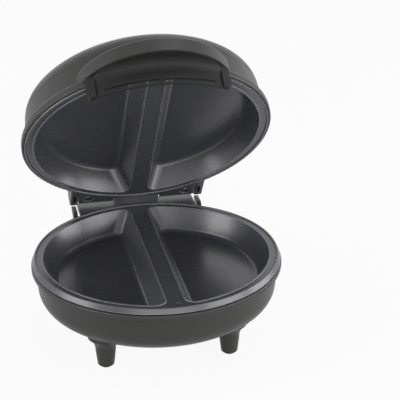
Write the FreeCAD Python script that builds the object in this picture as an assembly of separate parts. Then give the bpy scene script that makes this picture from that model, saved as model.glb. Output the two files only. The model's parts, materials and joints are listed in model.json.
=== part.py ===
"""Round countertop omelette maker: two coated plates with half-moon cavities, hinged at the back.

Frame: millimetres, +Z up, origin on the table in the middle of the opened appliance.
The handle points to -Y, the hinge axis runs along X at the back.
Pieces are drawn about the axis of the bowl, then moved forward by FRAME_BACK when written.
Lid pieces are drawn closed, then turned about the hinge axis to the rest pose, half open.
"""
import FreeCAD, Part
import math
import os

V = FreeCAD.Vector
X_AXIS = V(1, 0, 0)
Z_AXIS = V(0, 0, 1)

# Distance from the origin forward to the axis of the bowl
FRAME_BACK = 9.1

# Table, legs and pads
FOOT_X = 52.0
FOOT_Y = 48.0
FOOT_R = 6.8
LEG_SLOPE = 0.12
LEG_FLARE_DROP = 10.5
LEG_FLARE = 6.0
LEG_WALL = 2.2
PAD_R = 4.4
PAD_T = 2.4
PAD_STAND = 1.2

# Bowl of the base
SHELL_WALL = 2.5
FLANGE_R = 105.0
FLANGE_H = 4.8
FLANGE_PROUD = 4.0
BASE_TOP = 70.0
BOWL_FLOOR = 25.5
BOWL_CORNER_W = 39.0
BOWL_CORNER_H = 25.4
BOWL_DRAFT = 0.8
OVAL_SHARE = 0.75

# Lid, heights counted up from its parting plane
PARTING_GAP = 7.0
DOME_ROOM = 17.8
DOME_CROWN = 1.6
DOME_CORNER_W = 37.4
DOME_CORNER_H = 27.3
DOME_DRAFT = 2.2
LID_FLANGE_H = 5.5
SHOULDER_H = 3.8
SHOULDER_IN = 2.9
SEAM_STEP = 0.6
RABBET_WALL = 1.9

# Cooking plates, heights counted from the flat band
PLATE_T = 2.5
CAVITY_DEPTH = 19.5
CAVITY_SLANT = 8.5
CAVITY_CORNER = 8.0
FLOOR_FILLET = 5.5
DIVIDER_HALF = 8.3
BEAD_W = 1.3
BEAD_H = 0.7
BEAD_ROUND = 0.5
BAND_W = 5.8
RIM_INSET = 0.8
RIM_FACE = 3.8
LOWER_RIM_SLOPE = 1.9
LOWER_RIM_H = 1.2
RIM_TOP_W = 1.3
RIM_ROUND = 0.55
MARK_X = 1.6
MARK_IN = 7.0
MARK_R = 1.5
MARK_DEPTH = 1.6
PLATE_SEAT_GAP = 1.0
PLATE_STAND = 4.1
UPPER_RIM_GAP = 0.3
UPPER_RIM_W = 1.6
UPPER_RIM_H = 0.8

# Hinge
HINGE_BACK = 4.3
HINGE_RISE = 10.0
OPEN_ANGLE = 51.3
FULL_OPEN = 85.0
PIN_R = 2.5
PIN_CLEAR = 0.06
KNUCKLE_R = 7.5
KNUCKLE_HALF = 20.0
WASHER_T = 0.6
TAB_BACK = 8.5
TAB_CORNER = 3.0
LUG_OUT = 52.3
LUG_T = 3.0
LUG_SET = 0.3
LUG_TAIL = 0.8
LUG_SCREW_X = 43.6
LUG_SCREW_BACK = 6.6
LUG_SINK_R = 4.6
LUG_SINK = 1.4
LUG_HEAD_H = 1.1
LUG_HEAD_R = 3.4
LUG_SCREW_LEN = 7.0
LUG_ROOM = 4.6
LUG_BOSS_R = 3.6
WEB_LAP = 0.6
EAR_IN = 53.0
EAR_OUT = 59.8
EAR_BACK = 4.0
EAR_CREST = 10.0
EAR_SLOT = 2.2
EAR_SKIN = 1.6
EAR_FOOT = 5.5
HOOD_GAP = 0.9
HOOD_WALL = 2.4
STOP_MARGIN = 80.0
SWING_GAP = 0.5

# Hook that holds the front of the upper plate on a rib of the lid
HOOK_HALF = 7.0
HOOK_SET = 2.6
HOOK_LIP = 1.6
HOOK_RISE = 7.4

# Grip at the front of the lid
GRIP_LOW = 4.3
GRIP_H = 12.3
GRIP_HALF = 57.5
GRIP_OUT = 21.2
GRIP_ROOT_IN = 14.0
GRIP_WALL = 2.4
GUARD_CLEAR = 0.3
GUARD_SINK = 0.7
GUARD_T = 2.0
GUARD_FILLET = 9.0
GUARD_SCREW_X = 22.0
GUARD_SCREW_Z = 10.6
GUARD_POST_IN = 1.4
GUARD_POST_T = 5.5
GUARD_BOSS_R = 3.8
GUARD_HEAD_IN = 1.8
BLOCK_IN = 50.5
BLOCK_T = 3.8
SKIRT_GAP = 0.8
SKIRT_T = 2.5
SKIRT_DROP = 15.0
SKIRT_HALF = 57.3
SKIRT_CORNER = 4.0
SLOT_H = 3.7
SLOT_RAIL = 1.1
SLOT_HALF = 43.5
SLOT_RIB = 3.0

# Inside: elements, shields, bosses and controls
TUBE_R = 3.25
RING_R = 58.0
RING_GAP_DEG = 36.0
COLD_PIN = 15.0
PIN_REACH = 8.0
PIN_BEND = 6.5
SEAT = 0.1
CLIP_ROOM = 0.3
CLIP_T = 1.0
CLIP_W = 9.0
CLIP_FOOT = 9.0
CLIP_ANGLES = (62, 118, 242, 298)
CLIP_SCREW_R = 1.2
CLIP_SCREW_BITE = 1.8
BOSS_X = 30.0
BOSS_Y = 35.0
BOSS_R = 4.5
BOSS_LEN = 12.1
SHIELD_T = 0.8
SHIELD_R = 82.0
SHIELD_RIM = 6.0
SHIELD_SLOPE = 5.0
SCREW_R = 1.5
SCREW_HEAD_R = 3.2
SCREW_HEAD_H = 2.4
SCREW_BITE = 6.0
THERMO_X = 37.0
THERMO_R = 8.0
THERMO_H = 9.0
FUSE_X = -38.0
FUSE_R = 2.2
FUSE_LEN = 22.0
BLOCK_SET = 18.0
BLOCK_LIFT = 4.0
LEAD_R = 1.1
LEAD_BEND = 2.2
GLAND_DROP = 15.0
GLAND_R = 5.6
GLAND_BORE = 3.6
GLAND_FLANGE = 8.2
LAMP_X = 13.0
LAMP_Y = -52.0
LENS_R = 4.0
LAMP_POST_R = 3.4
HOLDER_MARGIN = 5.0
HOLDER_T = 1.6
HOLDER_DROP = 8.2

# Worked out from the values above
LID_PLANE = BASE_TOP + PARTING_GAP
LOWER_BAND = BASE_TOP + PLATE_STAND
LOWER_RIM_R = FLANGE_R - RIM_INSET
BAND_R = LOWER_RIM_R - RIM_FACE
CAVITY_R = BAND_R - BAND_W
HINGE_Y = FLANGE_R + HINGE_BACK
HINGE_Z = LID_PLANE + HINGE_RISE
WEB_FRONT = LOWER_RIM_R - WEB_LAP
LEG_FLARE_Z = BOWL_FLOOR - LEG_FLARE_DROP
GLAND_Z = BASE_TOP - GLAND_DROP
WALL_R = FLANGE_R - FLANGE_PROUD
BOWL_R = WALL_R - BOWL_DRAFT
BOWL_BEND_Z = BOWL_FLOOR + BOWL_CORNER_H
BOWL_FLAT_R = BOWL_R - BOWL_CORNER_W
SHOULDER_R = FLANGE_R - SHOULDER_IN
DOME_R = SHOULDER_R - SEAM_STEP
DOME_WALL_IN = DOME_R - SHELL_WALL
DOME_TOP_R = DOME_R - DOME_DRAFT
HOOK_Y = DOME_WALL_IN - HOOK_SET
GUARD_HEAD_Y = DOME_WALL_IN - GUARD_HEAD_IN
GUARD_POST_Y = FLANGE_R - GUARD_POST_IN
GRIP_REACH = FLANGE_R + GRIP_OUT
GRIP_ROOT_Y = FLANGE_R - GRIP_ROOT_IN
GRIP_BACK = FLANGE_R - 25.0
DOME_FLAT_R = DOME_TOP_R - DOME_CORNER_W
UPPER_RIM_R = FLANGE_R - RABBET_WALL - UPPER_RIM_GAP
FLOOR_UNDER = CAVITY_DEPTH + PLATE_T
DOME_H = FLOOR_UNDER + BOSS_LEN + SHIELD_T + DOME_ROOM
DOME_BEND = DOME_H - DOME_CORNER_H
TUBE_DROP = FLOOR_UNDER + TUBE_R + SEAT
HOOK_TOP = LID_PLANE + HOOK_RISE
HOLDER_TOP = LID_PLANE + DOME_H - SHELL_WALL - HOLDER_DROP
BLOCK_Z = BOWL_FLOOR + BLOCK_LIFT
BLOCK_Y = RING_R - BLOCK_SET
SKIRT_IN = FLANGE_R + SKIRT_GAP
SKIRT_OUT = SKIRT_IN + SKIRT_T
HOOD_IN = KNUCKLE_R + HOOD_GAP
HOOD_OUT = HOOD_IN + HOOD_WALL
HOOD_END = FULL_OPEN - STOP_MARGIN
KNUCKLE_BACK = HINGE_Y + HOOD_IN * math.cos(math.radians(STOP_MARGIN)) - SWING_GAP


def wire(points):
    """Closed wire through points; a point given as ('arc', mid, end) bends through mid."""
    edges = []
    here = points[0]
    for item in list(points[1:]) + [points[0]]:
        if item[0] == "arc":
            edges.append(Part.Arc(here, item[1], item[2]).toShape())
            here = item[2]
        else:
            if (item - here).Length > 1e-6:
                edges.append(Part.LineSegment(here, item).toShape())
            here = item
    return Part.Wire(edges)


def soft_path(points, closed):
    """Edges through (radius, height) points; a third value rounds that corner with an arc."""
    corners = [V(p[0], 0, p[1]) for p in points]
    begins = list(corners)
    ends = list(corners)
    edges = []
    for i, point in enumerate(points):
        if len(point) > 2:
            here = corners[i]
            way_in = (here - corners[i - 1]).normalize()
            way_out = (corners[(i + 1) % len(corners)] - here).normalize()
            turn = way_in.getAngle(way_out)
            reach = point[2] * math.tan(turn / 2)
            begins[i] = here - way_in * reach
            ends[i] = here + way_out * reach
            inward = (way_out - way_in).normalize()
            middle = here + inward * (point[2] / math.cos(turn / 2) - point[2])
            edges.append(Part.Arc(begins[i], middle, ends[i]).toShape())
    for i in range(len(corners) if closed else len(corners) - 1):
        a = ends[i]
        b = begins[(i + 1) % len(corners)]
        if (b - a).Length > 1e-6:
            edges.append(Part.LineSegment(a, b).toShape())
    return edges


def turned(points):
    """Solid of revolution about Z from the (radius, height) corners of its outline."""
    return lathe(soft_path(points, True))


def side_prism(points, x_low, x_high):
    """Prism along X over an outline of (y, z) points."""
    outline = Part.makePolygon([V(x_low, y, z) for y, z in points + points[:1]])
    return Part.Face(outline).extrude(V(x_high - x_low, 0, 0))


def box(x_low, x_high, y_low, y_high, z_low, z_high):
    return Part.makeBox(x_high - x_low, y_high - y_low, z_high - z_low, V(x_low, y_low, z_low))


def rod(radius, start, end):
    return Part.makeCylinder(radius, (end - start).Length, start, end - start)


def bent_tube(points, bend, radius):
    """Round tube along straight runs, each corner an arc of radius bend."""
    pieces = []
    start = points[0]
    for before, here, after in zip(points, points[1:], points[2:]):
        way_in = (here - before).normalize()
        way_out = (after - here).normalize()
        turn = way_in.getAngle(way_out)
        reach = bend * math.tan(turn / 2)
        begin = here - way_in * reach
        axis = way_in.cross(way_out).normalize()
        disc = Part.Face(Part.Wire(Part.makeCircle(radius, begin, way_in)))
        pieces.append(rod(radius, start, begin))
        pieces.append(disc.revolve(begin + axis.cross(way_in) * bend, axis, math.degrees(turn)))
        start = here + way_out * reach
    pieces.append(rod(radius, start, points[-1]))
    return pieces[0].fuse(pieces[1:]).removeSplitter()


def four_corners(x, y):
    return [(sx * x, sy * y) for sx in (-1, 1) for sy in (-1, 1)]


def oval_corner(centre_r, centre_z, width, height, up):
    """Quarter oval of two arcs in the XZ plane, from the outermost point to the one over centre_r."""
    tight = OVAL_SHARE * height
    wide = ((width - tight) ** 2 + height ** 2 - tight ** 2) / (2 * (height - tight))
    turn = math.atan2(wide - height, width - tight)

    def at(r, drop):
        return V(centre_r + r, 0, centre_z + up * drop)

    def on(radius, r, drop, angle):
        return at(r + radius * math.cos(angle), drop + radius * math.sin(angle))

    join = on(tight, width - tight, 0, turn)
    side = Part.Arc(at(width, 0), on(tight, width - tight, 0, turn / 2), join).toShape()
    half = (turn + math.pi / 2) / 2
    cap = Part.Arc(join, on(wide, 0, height - wide, half), at(0, height)).toShape()
    return [side, cap]


def lathe(edges):
    """Solid of revolution about Z from the edges of a closed outline."""
    return Part.Face(Part.Wire(Part.sortEdges(edges)[0])).revolve(V(0, 0, 0), Z_AXIS, 360)


def dish(width, height, above):
    """Solid bowl: oval corner below, then the (radius, height) points above it."""
    bottom = BOWL_BEND_Z - height
    side = [(BOWL_FLAT_R + width, BOWL_BEND_Z)] + above + [(0, above[-1][1]), (0, bottom), (BOWL_FLAT_R, bottom)]
    return lathe(oval_corner(BOWL_FLAT_R, BOWL_BEND_Z, width, height, -1) + soft_path(side, False))


def half_moon(radius, x_in, corner, z, side):
    """Closed D outline: a big arc about the origin and a straight side at x_in, corners rounded."""
    x_mid = x_in + corner
    y_mid = math.sqrt((radius - corner) ** 2 - x_mid ** 2)
    grow = radius / (radius - corner)
    touch = V(side * x_mid * grow, y_mid * grow, z)
    away = V(x_mid, y_mid, 0) - V(x_in, y_mid, 0)
    toward = V(x_mid * grow, y_mid * grow, 0) - V(x_mid, y_mid, 0)
    middle = (toward.normalize() * corner - away.normalize() * corner).normalize() * corner
    bend = V(side * (x_mid + middle.x), y_mid + middle.y, z)

    def low(p):
        return V(p.x, -p.y, p.z)

    start = V(side * x_in, -y_mid, z)
    return wire([start, V(side * x_in, y_mid, z), ("arc", bend, touch),
                 ("arc", V(side * radius, 0, z), low(touch)), ("arc", low(bend), start)])


def tapered_moon(side, grow, z_low, z_high, floor_fillet):
    """Half-moon body with leaning walls: a cone cut by a leaning plane, its corners and floor rounded."""
    lean = CAVITY_SLANT / CAVITY_DEPTH
    cone = Part.makeCone(CAVITY_R + grow + lean * z_low, CAVITY_R + grow + lean * z_high, z_high - z_low,
                         V(0, 0, z_low), Z_AXIS)
    x_low = DIVIDER_HALF - grow - lean * z_low
    x_high = DIVIDER_HALF - grow - lean * z_high
    wedge = Part.makePolygon([V(side * x_low, -150, z_low), V(side * 150, -150, z_low), V(side * 150, -150, z_high),
                              V(side * x_high, -150, z_high), V(side * x_low, -150, z_low)])
    body = cone.common(Part.Face(wedge).extrude(V(0, 300, 0)))
    corners = [e for e in body.Edges if e.BoundBox.ZLength > z_high - z_low - 0.01]
    body = body.makeFillet(CAVITY_CORNER + grow, corners)
    floor = [e for e in body.Edges if e.BoundBox.ZMax < z_low + 0.01]
    return body.makeFillet(floor_fillet, floor)


def cavity(side, grow=0.0):
    """The hollow of one pan, up through the bead."""
    return tapered_moon(side, grow, -CAVITY_DEPTH, BEAD_H + 0.01, FLOOR_FILLET)


def plate_blank(profile):
    """Coated plate with two half-moon pans; band surface at z = 0, cavities going down."""
    blank = turned(profile)
    for side in (-1, 1):
        rim = half_moon(CAVITY_R + BEAD_W, DIVIDER_HALF - BEAD_W, CAVITY_CORNER + BEAD_W, -0.2, side)
        bead = Part.Face(rim).extrude(V(0, 0, BEAD_H + 0.2))
        bead = bead.makeFillet(BEAD_ROUND, [e for e in bead.Edges if e.BoundBox.ZMin > BEAD_H - 0.01])
        pan = tapered_moon(side, PLATE_T, -FLOOR_UNDER, -PLATE_T / 2, FLOOR_FILLET + PLATE_T)
        blank = blank.fuse([bead, pan])
    for side in (-1, 1):
        blank = blank.cut(cavity(side))
    return blank


def flipped(shape):
    """Turn a piece drawn in plate coordinates upside down and set it in the closed lid."""
    other = shape.copy()
    other.rotate(V(0, 0, 0), V(0, 1, 0), 180)
    other.translate(V(0, 0, LID_PLANE))
    return other


def seated(shape):
    """Set a piece drawn in plate coordinates on the base."""
    other = shape.copy()
    other.translate(V(0, 0, LOWER_BAND))
    return other


def opened(shape):
    """Swing a closed lid piece up to the rest pose."""
    other = shape.copy()
    other.rotate(V(0, HINGE_Y, HINGE_Z), X_AXIS, -OPEN_ANGLE)
    return other


def lower_plate_profile():
    """Flat band with a tall sloping rim that stands over the shell's flange."""
    base = PLATE_SEAT_GAP - PLATE_STAND
    top_r = LOWER_RIM_R - LOWER_RIM_SLOPE
    return [(0, 0), (BAND_R, 0, 0.5), (top_r - RIM_TOP_W, LOWER_RIM_H, RIM_ROUND), (top_r, LOWER_RIM_H, RIM_ROUND),
            (LOWER_RIM_R, base), (LOWER_RIM_R - PLATE_T, base), (BAND_R - 0.4, -PLATE_T), (0, -PLATE_T)]


def upper_plate_profile():
    """Flat band with a thin raised ring, set in the lid's rabbet."""
    inner = UPPER_RIM_R - UPPER_RIM_W
    return [(0, 0), (inner - 0.9, 0), (inner - 0.5, -0.6), (inner, 0), (inner, UPPER_RIM_H, 0.5),
            (UPPER_RIM_R, UPPER_RIM_H, 0.5), (UPPER_RIM_R, -PLATE_T), (0, -PLATE_T)]


def plate_bosses(blank):
    """Four blind screw bosses under the cavity floors, with pilot holes, and the holes of the clips."""
    blank = drilled_for_clips(blank)
    for x, y in four_corners(BOSS_X, BOSS_Y):
        foot = V(x, y, -FLOOR_UNDER - BOSS_LEN)
        blank = blank.fuse(rod(BOSS_R, foot, V(x, y, -FLOOR_UNDER + 0.5)))
        blank = blank.cut(rod(SCREW_R, foot, foot + Z_AXIS * (SCREW_BITE + 1)))
    return blank


def make_lower_plate():
    """Lower plate with the rear tab, the middle knuckle of the hinge and a small blind hole in front."""
    plate = seated(plate_bosses(plate_blank(lower_plate_profile())))
    tab_low = BASE_TOP + PLATE_SEAT_GAP
    tab_end = HINGE_Y + TAB_BACK
    tab = box(-LUG_OUT, LUG_OUT, BAND_R * 0.8, tab_end, tab_low, LOWER_BAND)
    corners = [e for e in tab.Edges if e.BoundBox.ZLength > 1 and e.BoundBox.YMin > tab_end - 1]
    tab = tab.makeFillet(TAB_CORNER, corners)
    tab = tab.cut(rod(BAND_R - 1.5, V(0, 0, tab_low - 1), V(0, 0, LOWER_BAND + 1)))
    mark_y = MARK_IN - BAND_R
    web = side_prism([(WEB_FRONT, LOWER_BAND - 1), (KNUCKLE_BACK, LOWER_BAND - 1), (KNUCKLE_BACK, HINGE_Z),
                      (WEB_FRONT, HINGE_Z - 4)], -KNUCKLE_HALF, KNUCKLE_HALF)
    barrel = rod(KNUCKLE_R, V(-KNUCKLE_HALF, HINGE_Y, HINGE_Z), V(KNUCKLE_HALF, HINGE_Y, HINGE_Z))
    plate = plate.fuse([tab, web, barrel])
    plate = plate.cut(rod(MARK_R, V(MARK_X, mark_y, LOWER_BAND - MARK_DEPTH), V(MARK_X, mark_y, LOWER_BAND + 1)))
    bore = rod(PIN_R + PIN_CLEAR, V(-KNUCKLE_HALF - 1, HINGE_Y, HINGE_Z), V(KNUCKLE_HALF + 1, HINGE_Y, HINGE_Z))
    return plate.cut(bore).removeSplitter()


def make_upper_plate():
    """Upper plate, closed pose, with the two lugs that reach back to the pin."""
    plate = flipped(plate_bosses(plate_blank(upper_plate_profile())))
    low = LID_PLANE + LUG_SET
    for side in (-1, 1):
        x_in = KNUCKLE_HALF + WASHER_T
        x_low, x_high = sorted((side * x_in, side * LUG_OUT))
        leaf = side_prism([(BAND_R * 0.8, low), (HINGE_Y + LUG_TAIL, low), (HINGE_Y + LUG_TAIL, low + LUG_T),
                           (BAND_R * 0.8, low + LUG_T)], x_low, x_high)
        leaf = leaf.cut(rod(UPPER_RIM_R - 1.0, V(0, 0, low - 1), V(0, 0, low + LUG_T + 1)))
        gusset = side_prism([(HINGE_Y - 6.0, low), (HINGE_Y + LUG_TAIL, low), (HINGE_Y + LUG_TAIL, HINGE_Z),
                             (HINGE_Y - 6.0, HINGE_Z)], x_low, x_high)
        barrel = rod(KNUCKLE_R, V(x_low, HINGE_Y, HINGE_Z), V(x_high, HINGE_Y, HINGE_Z))
        room = box(side * LUG_SCREW_X - LUG_ROOM, side * LUG_SCREW_X + LUG_ROOM, HINGE_Y - 20, HINGE_Y + 20,
                   low + LUG_T, HINGE_Z + 20)
        plate = plate.fuse([leaf] + gusset.fuse(barrel).cut(room).Solids)
        screw_y = HINGE_Y - LUG_SCREW_BACK
        plate = plate.cut(rod(SCREW_R + 0.2, V(side * LUG_SCREW_X, screw_y, low - 1),
                              V(side * LUG_SCREW_X, screw_y, low + LUG_T + 1)))
        plate = plate.cut(rod(LUG_SINK_R, V(side * LUG_SCREW_X, screw_y, low - 1),
                              V(side * LUG_SCREW_X, screw_y, low + LUG_SINK)))
    post = box(-HOOK_HALF, HOOK_HALF, -HOOK_Y, -HOOK_Y + 5.0, LID_PLANE + PLATE_T - 1, HOOK_TOP)
    lip = box(-HOOK_HALF, HOOK_HALF, -HOOK_Y - HOOK_LIP, -HOOK_Y + 1.0, HOOK_TOP - 1.5, HOOK_TOP)
    plate = plate.fuse([post.cut(flipped(cavity(1, 0.5).fuse(cavity(-1, 0.5)))), lip])
    bore = rod(PIN_R + PIN_CLEAR, V(-LUG_OUT - 1, HINGE_Y, HINGE_Z), V(LUG_OUT + 1, HINGE_Y, HINGE_Z))
    return plate.cut(bore).removeSplitter()


def bowl_inside():
    """Hollow of the base shell, open at the top."""
    return dish(BOWL_CORNER_W - SHELL_WALL, BOWL_CORNER_H - SHELL_WALL,
                [(WALL_R - SHELL_WALL, BASE_TOP - FLANGE_H), (WALL_R - SHELL_WALL, BASE_TOP + 1)])


def leg(x, y, shrink, z_low):
    """Tapered leg whose root flares into the bowl."""
    neck_r = FOOT_R + LEG_SLOPE * (LEG_FLARE_Z - PAD_STAND) - shrink
    sole_r = FOOT_R + LEG_SLOPE * (z_low - PAD_STAND) - shrink
    top = LEG_FLARE_Z + 2 * LEG_FLARE
    flare = V(neck_r + LEG_FLARE, 0, top)
    outline = wire([V(0, 0, z_low), V(sole_r, 0, z_low), V(neck_r, 0, LEG_FLARE_Z),
                    ("arc", V(neck_r + 0.28 * LEG_FLARE, 0, LEG_FLARE_Z + 1.2 * LEG_FLARE), flare),
                    V(neck_r + LEG_FLARE, 0, top + 8), V(0, 0, top + 8)])
    body = Part.Face(outline).revolve(V(0, 0, 0), Z_AXIS, 360)
    body.translate(V(x, y, 0))
    return body


def make_base_shell():
    """Moulded bowl with flange, four cored legs, screw bosses, rear guards and the gland hole."""
    step = BASE_TOP - FLANGE_H
    shell = dish(BOWL_CORNER_W, BOWL_CORNER_H,
                 [(WALL_R, step - 0.6), (FLANGE_R, step, 1.1), (FLANGE_R, BASE_TOP, 1.3)])
    inside = bowl_inside()
    for x, y in four_corners(FOOT_X, FOOT_Y):
        body = leg(x, y, 0.0, PAD_STAND)
        sole = [e for e in body.Edges if e.BoundBox.ZMax < PAD_STAND + 0.01]
        shell = shell.fuse(body.makeFillet(1.6, sole))
    root = WALL_R - 20.0
    guard = [(root, BASE_TOP - 10.0), (WALL_R - 8.0, BASE_TOP - 9.0), (WALL_R, BASE_TOP - 4.0),
             (HINGE_Y + 1.5, BASE_TOP + 2.5), (HINGE_Y + 1.5, BASE_TOP + 4.6), (LOWER_RIM_R - 7.0, BASE_TOP + 4.6),
             (LOWER_RIM_R - 12.5, BASE_TOP), (root, BASE_TOP)]
    for side in (-1, 1):
        x_low, x_high = sorted((side * (EAR_IN + 1.0), side * (EAR_OUT - 2.0)))
        shell = shell.fuse(side_prism(guard, x_low, x_high))
    shell = shell.cut(inside)
    for x, y in four_corners(FOOT_X, FOOT_Y):
        core = leg(x, y, LEG_WALL, PAD_STAND + 4.5)
        shell = shell.cut(core)
        shell = shell.cut(rod(PAD_R, V(x, y, 0), V(x, y, PAD_T)))
    boss_top = LOWER_BAND - FLOOR_UNDER - BOSS_LEN - SHIELD_T
    for x, y in four_corners(BOSS_X, BOSS_Y):
        shell = shell.fuse(rod(BOSS_R + 0.6, V(x, y, BOWL_FLOOR + 0.5), V(x, y, boss_top)))
        head_top = BOWL_FLOOR + 4.0 + SCREW_HEAD_H
        shell = shell.cut(rod(SCREW_HEAD_R + 0.4, V(x, y, 0), V(x, y, head_top)))
        shell = shell.cut(rod(SCREW_R + 0.2, V(x, y, 0), V(x, y, boss_top + 1)))
    shell = shell.fuse(box(-13, 13, BLOCK_Y - 8, BLOCK_Y + 8, BOWL_FLOOR + 1, BLOCK_Z))
    shell = shell.cut(rod(GLAND_R, V(0, WALL_R - 20, GLAND_Z), V(0, WALL_R + 20, GLAND_Z)))
    return shell.removeSplitter()


def make_foot_pads():
    return [rod(PAD_R - 0.02, V(x, y, 0), V(x, y, PAD_T)) for x, y in four_corners(FOOT_X, FOOT_Y)]


def crescent(grow, z_low, z_high):
    """Crescent plan of the grip, a segment of a circle that bulges to the front."""
    sag = GRIP_REACH - GRIP_ROOT_Y
    radius = (GRIP_HALF ** 2 + sag ** 2) / (2 * sag)
    centre = V(0, -GRIP_REACH + radius, z_low)
    return Part.makeCylinder(radius - grow, z_high - z_low, centre, Z_AXIS)


def dome_inside():
    """Hollow of the lid above the rabbet, closed pose."""
    low = LID_PLANE + PLATE_T + 0.4
    bend = LID_PLANE + DOME_BEND
    top = LID_PLANE + DOME_H - SHELL_WALL
    corner = oval_corner(DOME_FLAT_R, bend, DOME_CORNER_W - SHELL_WALL, DOME_CORNER_H - SHELL_WALL, 1)
    rest = [(DOME_FLAT_R, top), (0, top), (0, low), (DOME_WALL_IN, low), (DOME_TOP_R - SHELL_WALL, bend)]
    return lathe(corner + soft_path(rest, False))


def dome_outside():
    """Outer form of the lid: flange, shoulder, fine seam step, drafted wall and crowned top."""
    bend = LID_PLANE + DOME_BEND
    top = LID_PLANE + DOME_H
    crest = top + DOME_CROWN
    seam = LID_PLANE + LID_FLANGE_H + SHOULDER_H
    ball = (DOME_FLAT_R ** 2 + DOME_CROWN ** 2) / (2 * DOME_CROWN)
    half = math.asin(DOME_FLAT_R / ball) / 2
    on_crown = V(ball * math.sin(half), 0, crest - ball * (1 - math.cos(half)))
    crown = Part.Arc(V(DOME_FLAT_R, 0, top), on_crown, V(0, 0, crest)).toShape()
    side = soft_path([(0, crest), (0, LID_PLANE), (FLANGE_R, LID_PLANE, 1.0),
                      (FLANGE_R, LID_PLANE + LID_FLANGE_H, 1.5), (SHOULDER_R, seam), (DOME_R, seam),
                      (DOME_TOP_R, bend)], False)
    return lathe(side + oval_corner(DOME_FLAT_R, bend, DOME_CORNER_W, DOME_CORNER_H, 1) + [crown])


def hinge_ears():
    """Two ears that carry the ends of the pin; each has a narrow pocket beside the lug."""
    back = HINGE_Y + EAR_BACK
    crest = HINGE_Z + EAR_CREST
    front = FLANGE_R - 45.0
    outline = wire([V(0, front, LID_PLANE), V(0, back - 2.0, LID_PLANE),
                    ("arc", V(0, back - 0.6, LID_PLANE + 0.6), V(0, back, LID_PLANE + 2.0)),
                    V(0, back + 3.5, HINGE_Z),
                    ("arc", V(0, back + 0.4, HINGE_Z + 6.6), V(0, HINGE_Y - 2.0, crest)),
                    V(0, front + 18.0, crest + 9.0), V(0, front, crest)])
    ears = []
    for side in (-1, 1):
        x_low, x_high = sorted((side * EAR_IN, side * EAR_OUT))
        face = Part.Face(outline)
        face.translate(V(x_low, 0, 0))
        ear = face.extrude(V(x_high - x_low, 0, 0))
        outer = [e for e in ear.Edges if abs(e.BoundBox.XMin - side * EAR_OUT) < 0.01
                 and abs(e.BoundBox.XMax - side * EAR_OUT) < 0.01 and e.BoundBox.YMax > front + 24.0]
        ear = ear.makeFillet(1.2, outer)
        p_low, p_high = sorted((side * (EAR_IN + EAR_SKIN), side * (EAR_IN + EAR_SKIN + EAR_SLOT)))
        pocket = box(p_low, p_high, FLANGE_R - 9.0, back - EAR_FOOT, LID_PLANE - 1, LID_PLANE + 6)
        ears.append(ear.cut(pocket))
    return ears


def hinge_hood():
    """Hood over the knuckles, from the dome's rear wall round the back of the barrels."""
    centre = V(0, HINGE_Y, HINGE_Z)

    def on(radius, degrees):
        a = math.radians(degrees)
        return centre + V(0, radius * math.cos(a), radius * math.sin(a))

    front = FLANGE_R - 35.0
    outline = wire([on(HOOD_OUT, HOOD_END), ("arc", on(HOOD_OUT, 50), on(HOOD_OUT, 90)),
                    V(0, front, HINGE_Z + HOOD_OUT + 10), V(0, front, HINGE_Z + HOOD_IN),
                    on(HOOD_IN, 90), ("arc", on(HOOD_IN, 50), on(HOOD_IN, HOOD_END))])
    face = Part.Face(outline)
    face.translate(V(-EAR_IN - 1, 0, 0))
    return face.extrude(V(2 * (EAR_IN + 1), 0, 0))


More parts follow.
